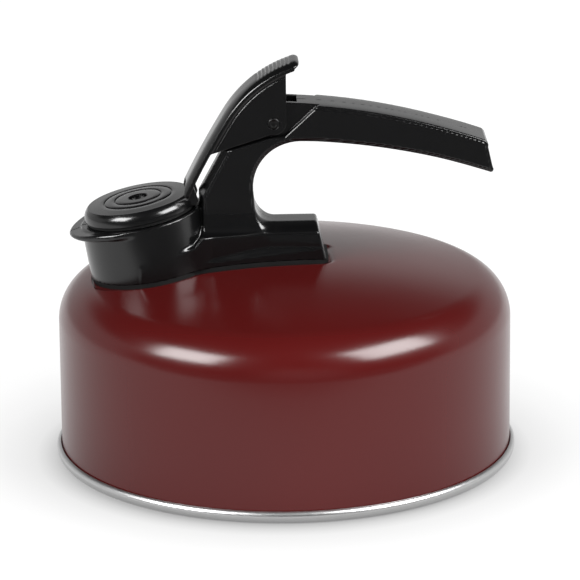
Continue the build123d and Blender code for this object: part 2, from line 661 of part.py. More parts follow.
def whistle_cup():
    """Push-in cup that holds the whistle up in its socket, open underneath."""
    top = -LID_PLATE - 2 * WHISTLE_SHEET - WHISTLE_GAP
    cup = lid_turned((CUP_RADIUS - 1.6, top), (CUP_RADIUS, top), (CUP_RADIUS, -SOCKET_DEPTH),
                     (SOCKET_RADIUS, -SOCKET_DEPTH), (SOCKET_RADIUS, -SOCKET_DEPTH - 1.2),
                     (CUP_RADIUS, -CUP_DEPTH + 1), (CUP_RADIUS - 1, -CUP_DEPTH),
                     (4.0, -CUP_DEPTH), (4.0, -CUP_DEPTH + 1.2),
                     (CUP_RADIUS - 1.6, -CUP_DEPTH + 1.2))
    return cup


# ---------------------------------------------------------------- assembly

def main():
    os.makedirs("parts", exist_ok=True)
    housing = housing_solid()
    disc_top = -LID_PLATE
    parts = {
        "body_shell": body_shell(),
        "base_pan": base_pan(),
        "base_seal": base_seal(),
        "neck_tube": neck_tube(),
        "neck_gasket": neck_gasket(),
        "housing_near_half": half_shell(housing, -1),
        "housing_far_half": half_shell(housing, 1),
        "housing_gasket": housing_gasket(),
        "clamp_plate": clamp_plate(),
        "sealing_washers": sealing_washers(),
        "mounting_screws": mounting_screws(),
        "handle_screws": Compound(join_screw_list()),
        "hinge_pin": hinge_pin(),
        "torsion_spring": torsion_spring(),
        "lid_lever": lid_lever(),
        "lid_seal": lid_seal(),
        "whistle_upper_disc": whistle_disc(disc_top),
        "whistle_spacer": whistle_spacer(),
        "whistle_lower_disc": whistle_disc(disc_top - WHISTLE_SHEET - WHISTLE_GAP),
        "whistle_cup": whistle_cup(),
    }
    for name, shape in parts.items():
        export_step(shape, f"parts/{name}.step")
        print(name, round(shape.volume), "mm3", len(shape.solids()), "solid(s)")


main()
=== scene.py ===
import math

import bmesh
import bpy
import numpy as np
from mathutils import Matrix, Vector

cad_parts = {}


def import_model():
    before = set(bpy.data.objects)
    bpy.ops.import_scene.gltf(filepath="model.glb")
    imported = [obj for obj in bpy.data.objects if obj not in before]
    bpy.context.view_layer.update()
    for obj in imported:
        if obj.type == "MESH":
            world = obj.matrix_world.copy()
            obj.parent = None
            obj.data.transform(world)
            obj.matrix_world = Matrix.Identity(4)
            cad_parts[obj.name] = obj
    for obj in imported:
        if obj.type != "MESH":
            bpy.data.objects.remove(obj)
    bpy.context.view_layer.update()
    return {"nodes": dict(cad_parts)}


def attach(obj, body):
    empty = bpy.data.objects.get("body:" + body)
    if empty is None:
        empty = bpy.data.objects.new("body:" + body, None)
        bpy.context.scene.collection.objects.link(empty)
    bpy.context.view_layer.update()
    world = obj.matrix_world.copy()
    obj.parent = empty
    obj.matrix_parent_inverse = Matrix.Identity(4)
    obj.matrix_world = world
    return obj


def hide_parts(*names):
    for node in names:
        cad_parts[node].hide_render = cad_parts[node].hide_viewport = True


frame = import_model()
MM = 0.001

# The kettle's frame: +Z up, spout along -X, lid hinge along Y. Shapes below are in
# millimetres in that frame, and only become metres when a mesh is made.

# Drum
BODY_RADIUS, SHOULDER_RADIUS, CROWN_RADIUS, APEX_Z = 95.4, 18.0, 367.0, 86.0
SHELL_THICKNESS = 1.2
SEAT_DEPTH, SEAT_INNER, SEAT_OUTER = 1.0, -2.3, 0.7
GASKET_RISE = 1.0
NECK_HOLE_X, NECK_HOLE_LENGTH, NECK_HOLE_WIDTH = -56.0, 20.7, 20.4
FLANGE_RADIUS, FLANGE_LOW, FLANGE_HIGH = 96.5, 1.8, 2.8

# Lid and spout axis
LID_TOP = np.array([-61.1, 0.0, 112.0])
LID_TILT = math.radians(10.4)
LID_AXIS = np.array([-math.sin(LID_TILT), 0.0, math.cos(LID_TILT)])
LID_AHEAD = np.array([-math.cos(LID_TILT), 0.0, -math.sin(LID_TILT)])
RIM_DEPTH = 7.5
NECK_RADIUS = 20.4
NECK_BEAD_RADIUS, NECK_BEAD_HEIGHT = 21.6, 1.2

# Housing
HOUSING_HALF = 10.4
PANEL_RAISE, PANEL_INSET, PANEL_EDGE, PANEL_LOW = 0.3, 1.3, 0.3, 107.0
COLUMN_EDGE, COLUMN_BOTTOM, COLUMN_FLARE = 0.7, 76.0, 1.4
GRIP_CROWN = 0.35
NOSE_BULGE, NOSE_HALF, NOSE_BACK, NOSE_TOP = 1.5, 9.6, -22.0, 136.0
FRONT_X, FRONT_BEND_Z, FRONT_LEAN = -34.0, 114.0, (0.878, 0.478)
HEAD_HALF = 7.7
SPRING_SLOT = (-18.0, 5.7)
SPRING_SLOT_HALF, SPRING_SLOT_FLOOR = 5.0, 143.0
FOOT_TOP, FOOT_EDGE = 101.5, 6.6
RAKE_FOOT, RAKE_FACING, RAKE_TOP = (13.2, 104.0), (24.0, 5.7), 110.0
LEDGE_LINE = (-40.0, 87.6, 13.0, 91.8)
LEDGE_INSET, LEDGE_EDGE, LEDGE_LEAN, LEDGE_BASE_Z = 2.4, 0.5, 0.08, 84.0
STEP_RISE, STEP_INSET, STEP_EDGE, STEP_LEAN = 2.4, 3.3, 0.4, 0.95
STEP_DROP, STEP_SCALE = -0.8, 1.3
FAIRING_GENTLE = (-50.0, 91.5, -38.0, 94.9)
FAIRING_STEEP = (-38.0, 94.9, -34.0, 98.6)
FAIRING_TOP, FAIRING_EDGE, FAIRING_SCALE = 98.6, 0.7, 0.8
SPOUT_X, SPOUT_STRETCH, SPOUT_RADIUS = -56.4, 1.015, 27.9
COLLAR_RADIUS, COLLAR_WIDENING, COLLAR_DEPTH, COLLAR_EDGE = 25.7, 0.4, 30.5, 0.6
LIP_AHEAD, LIP_RADIUS, LIP_HEIGHT, LIP_EDGE = 6.1, 25.1, 2.9, 1.1
LIP_DROOP, LIP_DROOP_START = 0.14, 20.0
LID_ROOM_RADIUS, LID_ROOM_TOP = 24.2, 6.0
SPLIT_GAP = 0.01
GROOVE, FRONT_GROOVE = 0.04, 0.3
SCREW_POCKET_RADIUS, SCREW_POCKET_FLOOR = 2.6, 9.6
# Where the housing's shapes fade in, as the place of nothing and the place of all
GRIP_FRONT, GRIP_END = (0.0, 16.0), (86.0, 60.0)
FOOT_FRONT, FOOT_BELOW = (-15.0, -4.0), (114.0, 103.0)
FLARE_BELOW = (109.0, 99.0)
GROOVE_BELOW, GROOVE_AHEAD = (142.0, 132.0), (0.0, -12.0)
# How wide the housing's joins are rounded
SEAT_BLEND, FAIRING_BLEND, PLINTH_BLEND, RAKE_BLEND = 3.0, 3.0, 1.2, 1.2
COLLAR_BLEND, LIP_BLEND, LEDGE_BLEND = 1.5, 0.9, 0.5
PANEL_BLEND, NOSE_BLEND, RECESS_BLEND, SLOT_BLEND = 0.5, 0.6, 0.5, 0.4
NECK_BLEND, LID_ROOM_BLEND, LID_ROOM_EDGE, POCKET_BLEND = 0.5, 0.3, 0.1, 0.4

# Lever
LEVER_HALF, LEVER_CROWN, LEVER_CROWN_POWER = 10.2, 1.8, 4.5
PLATE_THICKNESS, PLATE_EDGE = 1.7, 0.35
PLAN_EDGE, PAD_CORNER, PAD_START = 0.3, 2.0, (30.0, 50.0)
CHEEK_INNER, CHEEK_EDGE, CHEEK_DEPTH = 8.1, 0.15, 2.6
WEB_INSET, WEB_DEPTH = 0.15, 1.0
GUSSET_OUTER, GUSSET_INNER, GUSSET_EDGE = 9.4, 6.6, 0.5
LEVER_LID_RADIUS, LEVER_LID_TOP = 21.0, 1.8
ROOT_INNER_RADIUS, ROOT_TOP, ROOT_DEPTH = 21.6, 1.5, 6.1
PIN_BORE = 2.42
GUSSET_BLEND, CHEEK_BLEND, BORE_BLEND = 0.8, 0.3, 0.15
SPINE_START, SPINE_HEADING = (-43.2, 110.2), math.radians(65.3)
SPINE_ARCS = ((334.0, math.radians(7.2)), (50.6, math.radians(40.6)), (1.3, math.radians(62)))
PIN = (-4.1, 145.0)
JOIN_SCREWS = ((73.0, 131.5), (30.0, 142.4), (-21.5, 121.0))


# ---------------------------------------------------------------- materials

def map_range(tree, source, low, high, start=0.0, end=1.0, kind="LINEAR"):
    """Maps a value between two outputs."""
    node = tree.nodes.new("ShaderNodeMapRange")
    node.interpolation_type = kind
    node.inputs["From Min"].default_value = start
    node.inputs["From Max"].default_value = end
    node.inputs["To Min"].default_value = low
    node.inputs["To Max"].default_value = high
    tree.links.new(source, node.inputs["Value"])
    return node.outputs["Result"]


class Nodes:
    """A small helper that adds nodes to one material."""

    def __init__(self, name):
        self.material = bpy.data.materials.new(name)
        self.material.use_nodes = True
        self.tree = self.material.node_tree
        self.shader = self.tree.nodes["Principled BSDF"]
        self.place = self.add("ShaderNodeTexCoord").outputs["Object"]

    def add(self, kind, **settings):
        node = self.tree.nodes.new(kind)
        for key, value in settings.items():
            setattr(node, key, value)
        return node

    def link(self, source, target):
        self.tree.links.new(source, target)

    def set(self, **values):
        for key, value in values.items():
            self.shader.inputs[key.replace("_", " ")].default_value = value

    def noise(self, scale, detail=4.0, rough=0.5, stretch=(1, 1, 1)):
        spread = self.add("ShaderNodeMapping")
        spread.inputs["Scale"].default_value = stretch
        self.link(self.place, spread.inputs["Vector"])
        node = self.add("ShaderNodeTexNoise")
        node.inputs["Scale"].default_value = scale
        node.inputs["Detail"].default_value = detail
        node.inputs["Roughness"].default_value = rough
        self.link(spread.outputs["Vector"], node.inputs["Vector"])
        return node.outputs["Fac"]

    def ramp(self, source, low, high, start=0.0, end=1.0):
        return map_range(self.tree, source, low, high, start, end)

    def mix(self, factor, first, second):
        node = self.add("ShaderNodeMix", data_type="RGBA")
        node.inputs["A"].default_value = (*first, 1)
        node.inputs["B"].default_value = (*second, 1)
        self.link(factor, node.inputs["Factor"])
        return node.outputs["Result"]

    def bump(self, height, distance, strength=1.0):
        node = self.add("ShaderNodeBump")
        node.inputs["Distance"].default_value = distance
        node.inputs["Strength"].default_value = strength
        self.link(height, node.inputs["Height"])
        self.link(node.outputs["Normal"], self.shader.inputs["Normal"])


LACQUER_DARK, LACQUER_LIGHT = (0.0365, 0.0024, 0.0023), (0.0405, 0.0027, 0.0026)
PLASTIC_TONE = (0.0016, 0.0016, 0.0017, 1)
RUBBER_TONE = (0.003, 0.003, 0.003, 1)
METAL_LOW = 0.85
# Heights of the fine bumps, in metres
PEEL, GRAIN, RUBBER_GRAIN, BRUSHING = 0.00002, 0.00002, 0.00003, 0.00002


def red_lacquer():
    m = Nodes("red_lacquer")
    shade = m.ramp(m.noise(9, 3), 0, 1, 0.3, 0.7)
    m.link(m.mix(shade, LACQUER_DARK, LACQUER_LIGHT), m.shader.inputs["Base Color"])
    m.link(m.ramp(m.noise(60, 5), 0.20, 0.25), m.shader.inputs["Roughness"])
    m.set(Specular_IOR_Level=0.36)
    m.bump(m.noise(700, 2), PEEL, 0.4)
    return m.material


def black_plastic():
    m = Nodes("black_plastic")
    m.set(Base_Color=PLASTIC_TONE)
    m.link(m.ramp(m.noise(90, 5), 0.17, 0.24), m.shader.inputs["Roughness"])
    m.bump(m.noise(1500, 2), GRAIN, 0.5)
    return m.material


def black_rubber():
    m = Nodes("black_rubber")
    m.set(Base_Color=RUBBER_TONE, Specular_IOR_Level=0.2)
    m.link(m.ramp(m.noise(150, 5), 0.5, 0.65), m.shader.inputs["Roughness"])
    m.bump(m.noise(1500, 2), RUBBER_GRAIN, 0.5)
    return m.material


def brushed_metal(name, tone, stretch):
    m = Nodes(name)
    m.set(Metallic=1.0)
    streaks = m.noise(300, 6, 0.6, stretch)
    m.link(m.mix(m.ramp(streaks, 0, 1, 0.3, 0.7), [tone * METAL_LOW] * 3, [tone] * 3),
           m.shader.inputs["Base Color"])
    m.link(m.ramp(streaks, 0.26, 0.42), m.shader.inputs["Roughness"])
    m.bump(streaks, BRUSHING, 0.4)
    return m.material


# ---------------------------------------------------------------- distance fields

def soft_max(a, b, blend):
    """Intersection of two fields, with the edge between them rounded."""
    near = np.maximum(blend - np.abs(a - b), 0) / blend
    return np.maximum(a, b) + near * near * blend / 4


def soft_min(a, b, blend):
    """Union of two fields, with the corner between them filled."""
    return -soft_max(-a, -b, blend)


def smooth(value, low, high):
    """0 below low, 1 above high, and a smooth step between; low may be the larger."""
    part = np.clip((value - low) / (high - low), 0, 1)
    return part * part * (3 - 2 * part)


def rounded(u, v, edge):
    """Intersection of two fields with its edge rounded to a true radius."""
    u, v = u + edge, v + edge
    corner = np.hypot(np.maximum(u, 0), np.maximum(v, 0))
    return np.minimum(np.maximum(u, v), 0) + corner - edge


def arc(start, middle, end, steps=14):
    """Points along the circle through three places, after the first one."""
    (ax, ay), (bx, by), (cx, cy) = start, middle, end
    d = 2 * (ax * (by - cy) + bx * (cy - ay) + cx * (ay - by))
    a2, b2, c2 = ax * ax + ay * ay, bx * bx + by * by, cx * cx + cy * cy
    ux = (a2 * (by - cy) + b2 * (cy - ay) + c2 * (ay - by)) / d
    uy = (a2 * (cx - bx) + b2 * (ax - cx) + c2 * (bx - ax)) / d
    radius = math.hypot(ax - ux, ay - uy)
    first = math.atan2(ay - uy, ax - ux)
    turn = math.atan2(cy - uy, cx - ux) - first
    half = math.atan2(by - uy, bx - ux) - first
    if (half % math.tau) < (turn % math.tau):
        turn %= math.tau
    else:
        turn = turn % math.tau - math.tau
    return [(ux + radius * math.cos(first + turn * i / steps),
             uy + radius * math.sin(first + turn * i / steps)) for i in range(1, steps + 1)]


def outline_distance(points, u, v):
    """Signed distance to a closed outline, negative inside."""
    nearest, sign = 1e9, 1.0
    for (ax, ay), (bx, by) in zip(points, points[1:] + points[:1]):
        ex, ey = bx - ax, by - ay
        wx, wy = u - ax, v - ay
        part = np.clip((wx * ex + wy * ey) / (ex * ex + ey * ey), 0, 1)
        nearest = np.minimum(nearest, (wx - ex * part) ** 2 + (wy - ey * part) ** 2)
        above, below, left = v >= ay, v < by, ex * wy > ey * wx
        sign = np.where((above & below & left) | ~(above | below | left), -sign, sign)
    return sign * np.sqrt(nearest)


def lid_place(x, y, z):
    """Distance from the lid axis, height above the lid top, and the way ahead of the axis."""
    dx, dz = x - LID_TOP[0], z - LID_TOP[2]
    height = dx * LID_AXIS[0] + dz * LID_AXIS[2]
    ahead = dx * LID_AHEAD[0] + dz * LID_AHEAD[2]
    return np.hypot(ahead, y), height, ahead


def slope_z(x, x_low, z_low, x_high, z_high):
    """Height of a straight slope in side view."""
    return z_low + (x - x_low) * (z_high - z_low) / (x_high - x_low)


CROWN_MIDDLE = APEX_Z - CROWN_RADIUS
BEND_REACH = BODY_RADIUS - SHOULDER_RADIUS
BEND_Z = CROWN_MIDDLE + math.sqrt((CROWN_RADIUS - SHOULDER_RADIUS) ** 2 - BEND_REACH ** 2)
BEND_LEAN = math.atan2(BEND_Z - CROWN_MIDDLE, BEND_REACH)


def drum_distance(x, y, z, rise=0.0):
    """Signed distance to the drum's crown and shoulder, raised a little, negative inside."""
    out = np.hypot(x, y)
    crown = np.hypot(out, z - CROWN_MIDDLE) - CROWN_RADIUS
    bend = np.hypot(out - BEND_REACH, z - BEND_Z) - SHOULDER_RADIUS
    on_crown = np.arctan2(z - CROWN_MIDDLE, out) > BEND_LEAN
    return np.where(on_crown, crown, bend) - rise


# ---------------------------------------------------------------- meshes from fields

NUDGE = 0.06
FLATTEST = 0.2  # least squared slope that a point moves along
SETTLE_ROUNDS = 3
# Points by the seam lie this near to the centre plane and behind this X; they move if the
# whole's surface is within this many cells.
SEAM_HALF, SEAM_START, SEAM_REACH = 0.05, -10, 0.65
SHARED_SURFACE = 0.03
TINY = 1e-9


def shape_slope(field, points):
    """A field's value and gradient at some points."""
    slope = np.empty_like(points)
    for axis in range(3):
        step = np.zeros(3)
        step[axis] = NUDGE
        ahead = field(*(points + step).T)
        behind = field(*(points - step).T)
        slope[:, axis] = (ahead - behind) / (2 * NUDGE)
    return field(*points.T), slope


def settled(field, points, limit):
    """The points, moved along the gradient onto the field's surface."""
    for _ in range(SETTLE_ROUNDS):
        value, slope = shape_slope(field, points)
        steep = np.maximum((slope ** 2).sum(1), FLATTEST)
        move = -slope * (value / steep)[:, None]
        size = np.linalg.norm(move, axis=1, keepdims=True)
        points = points + move * np.minimum(1, limit / np.maximum(size, TINY))
    return points


def surface_net(field, low, high, step):
    """Points and quads of the surface where a field is zero, inside a box."""
    low = np.array(low, float)
    axes = [np.arange(a, b + step, step) for a, b in zip(low, high)]
    grids = (axes[0][:, None, None], axes[1][None, :, None], axes[2][None, None, :])
    value = field(*grids).astype(np.float32)
    inside = value < 0
    cells = np.array(value.shape) - 1
    edges = []
    for axis in range(3):
        start, stop = [slice(None)] * 3, [slice(None)] * 3
        start[axis], stop[axis] = slice(0, -1), slice(1, None)
        crossed = inside[tuple(start)] != inside[tuple(stop)]
        at = np.argwhere(crossed)
        before, after = value[tuple(start)][crossed], value[tuple(stop)][crossed]
        spot = low + at * step
        spot[:, axis] += step * before / (before - after)
        edges.append((axis, at, spot, before < 0))
    total, count = np.zeros((cells.prod(), 3)), np.zeros(cells.prod())
    around = []
    for axis, at, spot, _ in edges:
        u, v = (axis + 1) % 3, (axis + 2) % 3
        ring = []
        for du, dv in ((0, 0), (-1, 0), (-1, -1), (0, -1)):
            cell = at.copy()
            cell[:, u] += du
            cell[:, v] += dv
            flat = np.ravel_multi_index(cell.T, cells)
            count += np.bincount(flat, minlength=len(count))
            for k in range(3):
                total[:, k] += np.bincount(flat, spot[:, k], minlength=len(count))
            ring.append(flat)
        around.append(np.stack(ring, 1))
    used = np.flatnonzero(count)
    number = np.full(len(count), -1)
    number[used] = np.arange(len(used))
    quads = [np.where(outward[:, None], ring, ring[:, ::-1])
             for ring, (_, _, _, outward) in zip(around, edges)]
    return total[used] / count[used, None], number[np.concatenate(quads)]


def cornered(whole, points, reach):
    """Moves the points by the seam's edge within the seam, out to the whole's surface."""
    value = whole(*points.T)
    at_seam = (np.abs(points[:, 1]) < SEAM_HALF) & (points[:, 0] > SEAM_START)
    edge = at_seam & (np.abs(value) < reach)
    moved = points[edge]
    for _ in range(SETTLE_ROUNDS):
        value, slope = shape_slope(whole, moved)
        slope[:, 1] = 0
        moved = moved - slope * (value / np.maximum((slope ** 2).sum(1), FLATTEST))[:, None]
    points[edge] = moved
    return points


def add_object(name, mesh, material, body):
    piece = bpy.data.objects.new(name, mesh)
    bpy.context.scene.collection.objects.link(piece)
    mesh.materials.append(material)
    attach(piece, body)
    return piece


def moulded(name, field, low, high, step, material, body, slot, whole=None):
    """A smooth mesh of a field, shaded with the field's normals.

    A piece cut from a whole takes the whole's normals where their surfaces are shared.
    """
    points, quads = surface_net(field, low, high, step)
    points = settled(field, points, step / 2)
    if whole:
        points = cornered(whole, points, SEAM_REACH * step)
    mesh = bpy.data.meshes.new(name)
    mesh.from_pydata(points * MM, [], quads.tolist())
    _, slope = shape_slope(field, points)
    if whole:
        value, whole_slope = shape_slope(whole, points)
        slope = np.where(np.abs(value)[:, None] < SHARED_SURFACE, whole_slope, slope)
    normals = slope / np.maximum(np.linalg.norm(slope, axis=1, keepdims=True), TINY)
    mesh.polygons.foreach_set("use_smooth", np.ones(len(mesh.polygons), bool))
    mesh.update()
    mesh.normals_split_custom_set_from_vertices(normals.tolist())
    return add_object(name, mesh, material, body)


# ---------------------------------------------------------------- housing

def handle_outline():
    """Side view of the column, head, grip and foot."""
    return ([(-20.0, COLUMN_BOTTOM), (FRONT_X, COLUMN_BOTTOM), (FRONT_X, FRONT_BEND_Z),
             (-24.2, 132.0), (-20.5, 141.5)]
            + arc((-20.5, 141.5), (-14.2, 149.8), (-4.0, 153.5))
            + arc((-4.0, 153.5), (40.0, 148.7), (82.9, 136.7))
            + arc((82.9, 136.7), (84.9, 135.4), (85.3, 133.0), 4)
            + [(87.2, 124.4)]
            + arc((87.2, 124.4), (87.3, 122.7), (85.6, 122.6), 4)
            + arc((85.6, 122.6), (46.9, 132.5), (7.0, 137.1))
            + arc((7.0, 137.1), (-7.1, 131.6), (-12.9, 116.5))
            + [(-12.3, 110.0)]
            + arc((-12.3, 110.0), (-9.9, 104.2), (-4.0, FOOT_TOP))
            + [(40.0, FOOT_TOP), (40.0, COLUMN_BOTTOM)])


HANDLE = handle_outline()
CHEEK_RECESS = [(-34.0, 130.6), (-5.2, 138.9), (0.6, 139.4), (14.6, 152.4), (14.6, 180.0),
                (-60.0, 180.0), (-60.0, 130.6)]
SEAT = [(-50.0, -24.3), (-36.0, -20.4), (-19.0, -18.7), (4.0, -16.4), (15.5, -14.7)]
SEAT = SEAT + arc((15.5, -14.7), (19.0, -12.7), (20.6, -9.0), 6)
SEAT = SEAT + [(x, -y) for x, y in reversed(SEAT)]
FAIRING = [(-60.0, -25.0)] + arc((-60.0, -25.0), (-44.0, -21.7), (-30.0, -17.2))
FAIRING = FAIRING + [(-8.0, -12.8), (40.0, -11.6)]
FAIRING = FAIRING + [(x, -y) for x, y in reversed(FAIRING)]


def seat_distance(x, y):
    """Plan distance to the housing's footprint on the drum, negative inside."""
    foot = outline_distance(SEAT, x, y)
    spout = np.hypot((x - SPOUT_X) / SPOUT_STRETCH, y) - SPOUT_RADIUS
    return soft_min(foot, spout, SEAT_BLEND)


def column(x, y, z):
    """Column, head, grip and foot, with side panels, a bulging nose and the lever's recesses."""
    across = np.abs(y)
    outline = outline_distance(HANDLE, x, z)
    on_grip = smooth(x, *GRIP_FRONT) * smooth(x, *GRIP_END)
    crown = GRIP_CROWN * (across / HOUSING_HALF) ** 4 * on_grip
    on_foot = smooth(x, *FOOT_FRONT) * smooth(z, *FOOT_BELOW)
    edge = COLUMN_EDGE + FOOT_EDGE * on_foot
    half = HOUSING_HALF + COLUMN_FLARE * smooth(z, *FLARE_BELOW)
    body = rounded(outline + crown, across - half, edge)
    panel = rounded(outline + crown + PANEL_INSET, across - HOUSING_HALF - PANEL_RAISE,
                    PANEL_EDGE)
    panel = np.maximum(panel, PANEL_LOW - z)
    out, up = FRONT_LEAN
    front = np.maximum(-(x - FRONT_X), -out * (x - FRONT_X) + up * (z - FRONT_BEND_Z))
    nose = front - NOSE_BULGE * (1 - (y / NOSE_HALF) ** 2)
    nose = np.maximum(np.maximum(nose, across - NOSE_HALF),
                      np.maximum(x - NOSE_BACK, z - NOSE_TOP))
    both = soft_min(soft_min(body, panel, PANEL_BLEND), nose, NOSE_BLEND)
    recess = np.maximum(outline_distance(CHEEK_RECESS, x, z), HEAD_HALF - across)
    both = soft_max(both, -recess, RECESS_BLEND)
    slot = np.maximum(np.maximum(SPRING_SLOT[0] - x, x - SPRING_SLOT[1]),
                      np.maximum(across - SPRING_SLOT_HALF, SPRING_SLOT_FLOOR - z))
    return soft_max(both, -slot, SLOT_BLEND)


def rake(x, z):
    """The foot's sloping end, which the grip above it clears."""
    back, up = RAKE_FACING
    face = ((x - RAKE_FOOT[0]) * back + (z - RAKE_FOOT[1]) * up) / math.hypot(back, up)
    return np.minimum(face, RAKE_TOP - z)


def plinth(x, y, z):
    """The two sloping ledges around the foot."""
    plan = outline_distance(SEAT, x, y)
    lower_z = slope_z(x, *LEDGE_LINE)
    upper_z = lower_z + STEP_RISE
    band = rounded(plan + LEDGE_INSET + LEDGE_LEAN * (z - LEDGE_BASE_Z), z - lower_z, LEDGE_EDGE)
    slope = STEP_LEAN * np.maximum(z - lower_z, STEP_DROP)
    shoulder = rounded(plan + STEP_INSET + slope, z - upper_z, STEP_EDGE) / STEP_SCALE
    return soft_min(band, shoulder, LEDGE_BLEND)


def fairing(x, y, z):
    """The skirt that runs out from the column's foot to the collar."""
    rising = np.maximum(slope_z(x, *FAIRING_GENTLE), slope_z(x, *FAIRING_STEEP))
    top = np.minimum(FAIRING_TOP, rising)
    return rounded(outline_distance(FAIRING, x, y), (z - top) * FAIRING_SCALE, FAIRING_EDGE)


def collar(x, y, z):
    """The spout's collar and the pouring lip in front of it."""
    radius, height, ahead = lid_place(x, y, z)
    wall = COLLAR_RADIUS + COLLAR_WIDENING * (-height - RIM_DEPTH) / COLLAR_DEPTH
    cup = rounded(radius - wall, height + RIM_DEPTH, COLLAR_EDGE)
    reach = np.hypot(ahead - LIP_AHEAD, y) - LIP_RADIUS
    top = height + RIM_DEPTH + LIP_DROOP * np.maximum(ahead - LIP_DROOP_START, 0)
    under = -height - RIM_DEPTH - LIP_HEIGHT
    lip = rounded(np.maximum(reach, -ahead), np.maximum(top, under), LIP_EDGE)
    return soft_min(cup, lip, LIP_BLEND)


def housing(x, y, z):
    """The whole moulding, before it is split on the centre plane."""
    radius, height, _ = lid_place(x, y, z)
    foot = soft_min(column(x, y, z), fairing(x, y, z), FAIRING_BLEND)
    foot = soft_min(foot, plinth(x, y, z), PLINTH_BLEND)
    foot = soft_max(foot, rake(x, z), RAKE_BLEND)
    solid = soft_min(foot, collar(x, y, z), COLLAR_BLEND)
    bead = np.maximum(radius - NECK_BEAD_RADIUS, -height - RIM_DEPTH - NECK_BEAD_HEIGHT)
    bore = np.minimum(radius - NECK_RADIUS, bead)
    lid_room = rounded(radius - LID_ROOM_RADIUS, -height - RIM_DEPTH, LID_ROOM_EDGE)
    lid_room = np.maximum(lid_room, height - LID_ROOM_TOP)
    solid = soft_max(soft_max(solid, -bore, NECK_BLEND), -lid_room, LID_ROOM_BLEND)
    return np.maximum(solid, -drum_distance(x, y, z, GASKET_RISE))


def half_of(x, y, z, side):
    """One side of the housing, split by a fine line that widens down the column's front."""
    groove = GROOVE + FRONT_GROOVE * smooth(z, *GROOVE_BELOW) * smooth(x, *GROOVE_AHEAD)
    return soft_max(housing(x, y, z), side * y + SPLIT_GAP, groove)


def near_half(x, y, z):
    return half_of(x, y, z, 1)


def far_half(x, y, z):
    """The far side, with the pockets of the screws that join the halves."""
    solid = half_of(x, y, z, -1)
    for px, pz in JOIN_SCREWS:
        pocket = np.maximum(np.hypot(x - px, z - pz) - SCREW_POCKET_RADIUS,
                            SCREW_POCKET_FLOOR - y)
        solid = soft_max(solid, -pocket, POCKET_BLEND)
    return solid


# ---------------------------------------------------------------- lid lever

def spine_place(x, z):
    """Offset outwards from the lever's spine, and the distance along it."""
    px, pz, heading = *SPINE_START, SPINE_HEADING
    offset, along, done = None, None, 0.0
    for radius, turn in SPINE_ARCS:
        cx, cz = px + radius * math.sin(heading), pz - radius * math.cos(heading)
        here = np.hypot(x - cx, z - cz) - radius
        angle = heading + math.pi / 2 - np.arctan2(z - cz, x - cx)
        angle = (angle + math.pi) % math.tau - math.pi
        if offset is None:
            offset, along = here, angle * radius
        else:
            past = (x - px) * math.cos(heading) + (z - pz) * math.sin(heading) > 0
            offset = np.where(past, here, offset)
            along = np.where(past, done + angle * radius, along)
        done += radius * turn
        heading -= turn
        px, pz = cx - radius * math.sin(heading), cz + radius * math.cos(heading)
    return offset, along, done


CHEEK = ([(-60.0, 132.0), (-30.9, 132.0), (PIN[0] - 1.36, PIN[1] - 4.91)]
         + arc((PIN[0] - 1.36, PIN[1] - 4.91), (PIN[0] + 3.4, PIN[1] - 3.8), (1.2, PIN[1]))
         + [(1.2, 180.0), (-60.0, 180.0)])
GUSSET = [(-41.6, 113.6), (-38.8, 119.0), (-37.6, 117.6), (-35.9, 112.2), (-36.7, 109.6),
          (-41.0, 108.8)]
RIBS, RIB_PITCH, RIB_DEPTH, RIB_MARGIN = 9, 1.75, 0.34, 2.2
RIBS_NEAR, RIBS_FAR = (-7.6, -3.6), (8.8, 7.0)


def ribs(along, total, y):
    """Depth of the cross grooves in the thumb pad."""
    back = total - RIB_MARGIN - along
    wave = 0.5 - 0.5 * np.cos(math.tau * back / RIB_PITCH)
    on_pad = (back > 0) & (back < RIBS * RIB_PITCH)
    return RIB_DEPTH * wave * on_pad * smooth(y, *RIBS_NEAR) * smooth(y, *RIBS_FAR)


def lever(x, y, z):
    """The lid's long lever: a crowned plate with a thumb pad, two cheeks and two gussets."""
    across = np.abs(y)
    offset, along, total = spine_place(x, z)
    crown = LEVER_CROWN * (1 - (across / LEVER_HALF) ** LEVER_CROWN_POWER)
    above = offset - crown + ribs(along, total, y)
    plate = np.maximum(above, -(offset - crown) - PLATE_THICKNESS)
    ends = np.maximum(along - total, -along)
    corner = PAD_CORNER * smooth(along, *PAD_START) + PLAN_EDGE
    plan = rounded(across - LEVER_HALF, ends, corner)
    plate = rounded(plate, plan, PLATE_EDGE)
    radius, height, _ = lid_place(x, y, z)
    plate = np.maximum(plate, np.minimum(-height - LEVER_LID_TOP, radius - LEVER_LID_RADIUS))
    side = outline_distance(CHEEK, x, z)
    cheek = rounded(np.maximum(side, offset + CHEEK_DEPTH), across - LEVER_HALF, CHEEK_EDGE)
    web = np.maximum(np.maximum(side, offset + WEB_DEPTH), across - LEVER_HALF + WEB_INSET)
    cheek = np.maximum(np.minimum(cheek, web), CHEEK_INNER - across)
    root = rounded(outline_distance(GUSSET, x, z), across - GUSSET_OUTER, GUSSET_EDGE)
    root = np.maximum(root, GUSSET_INNER - across)
    arm = soft_min(soft_min(plate, root, GUSSET_BLEND), cheek, CHEEK_BLEND)
    arm = np.maximum(arm, -height - ROOT_DEPTH)
    arm = np.maximum(arm, np.minimum(ROOT_INNER_RADIUS - radius, height + ROOT_TOP))
    bore = np.hypot(x - PIN[0], z - PIN[1]) - PIN_BORE
    return soft_max(arm, -bore, BORE_BLEND)


# ---------------------------------------------------------------- turned meshes

